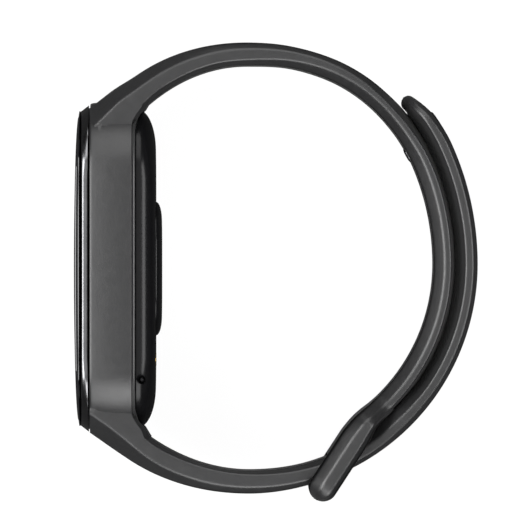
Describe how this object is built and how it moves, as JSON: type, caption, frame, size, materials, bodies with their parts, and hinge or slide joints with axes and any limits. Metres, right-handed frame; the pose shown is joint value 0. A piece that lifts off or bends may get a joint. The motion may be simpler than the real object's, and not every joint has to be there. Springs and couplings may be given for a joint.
{
  "type": "fitness tracker band",
  "caption": "Slim pill-shaped fitness tracker in a soft moulded wrist strap, closed through its keeper loop and held by a stud.",
  "frame": {"origin": "centre of the sensor window's outer face, which rests on the wrist", "axes": "+X from the screen through the wrist towards the clasp, +Y towards the capsule's twelve o'clock end, +Z along the axis of the wrist opening; the band lies on its side"},
  "size_m": [0.0573, 0.0651, 0.0222],
  "materials": {
    "strap": "fine matte moulded TPU, black",
    "cover_glass": "polished black glass, screen off",
    "sensor_window": "polished smoked window",
    "casing": "polished black polycarbonate",
    "inner_plastic": "moulded black",
    "display": "dark display stack",
    "adhesive": "clear adhesive film",
    "polyimide": "amber film with copper tracks",
    "circuit_board": "green solder mask",
    "chip": "moulded epoxy",
    "connector_plastic": "ivory moulding",
    "steel": "plain bright metal",
    "dark_metal": "black-plated polished steel",
    "gold_plate": "gold-plated",
    "battery_foil": "laminated foil pouch",
    "green_led": "clear green epoxy",
    "photodiode": "dark silicon under clear epoxy"
  },
  "bodies": {
    "strap": {"strap_cradle": "strap", "strap_upper_arm": "strap", "strap_keeper_loop": "strap", "strap_lower_arm": "strap"},
    "tracker": {"cover_glass": "cover_glass", "display_adhesive": "adhesive", "display_panel": "display", "display_flex": "polyimide", "front_bezel": "casing", "body_shell": "casing", "inner_frame": "inner_plastic", "antenna": "gold_plate", "main_board": "circuit_board", "processor_chip": "chip", "shield_can": "steel", "memory_chip": "chip", "power_chip": "chip", "motion_sensor_chip": "chip", "board_connector": "connector_plastic", "microphone": "steel", "microphone_mesh": "dark_metal", "battery_cell": "battery_foil", "battery_flex": "polyimide", "charging_contact_1": "gold_plate", "charging_contact_2": "gold_plate", "contact_spring_1": "gold_plate", "contact_spring_2": "gold_plate", "charging_magnet_1": "steel", "charging_magnet_2": "steel", "motor_case": "steel", "sensor_lens": "sensor_window", "light_baffle": "inner_plastic", "sensor_board": "circuit_board", "green_led_1": "green_led", "green_led_2": "green_led", "photodiode_1": "photodiode", "photodiode_2": "photodiode"},
    "motor_rotor": {"motor_shaft": "steel", "motor_weight": "dark_metal"},
    "tail_middle": {"strap_tail_middle": "strap"},
    "tail_tip": {"strap_tail_tip": "strap", "stud_cap": "dark_metal", "stud_post": "dark_metal"}
  },
  "joints": [
    {"name": "tracker_pop_out", "type": "slide", "parent": "strap", "child": "tracker", "axis": [-1, 0, 0], "range_m": [0, 0.014]},
    {"name": "motor_spin", "type": "hinge", "parent": "tracker", "child": "motor_rotor", "pos_m": [-0.00575, -0.0126, 0], "axis": [0, 0, 1], "continuous": true},
    {"name": "tail_bend_1", "type": "hinge", "parent": "strap", "child": "tail_middle", "pos_m": [0.04442, -0.00431, 0], "axis": [0, 0, -1], "range_deg": [0, 38], "stiffness_Nm_per_rad": 0.002},
    {"name": "tail_bend_2", "type": "hinge", "parent": "tail_middle", "child": "tail_tip", "pos_m": [0.04382, 0.00961, 0], "axis": [0, 0, -1], "range_deg": [0, 38], "stiffness_Nm_per_rad": 0.002}
  ],
  "couplings": [
    {"joint": "tail_bend_2", "follows": "tail_bend_1", "ratio": 1}
  ]
}
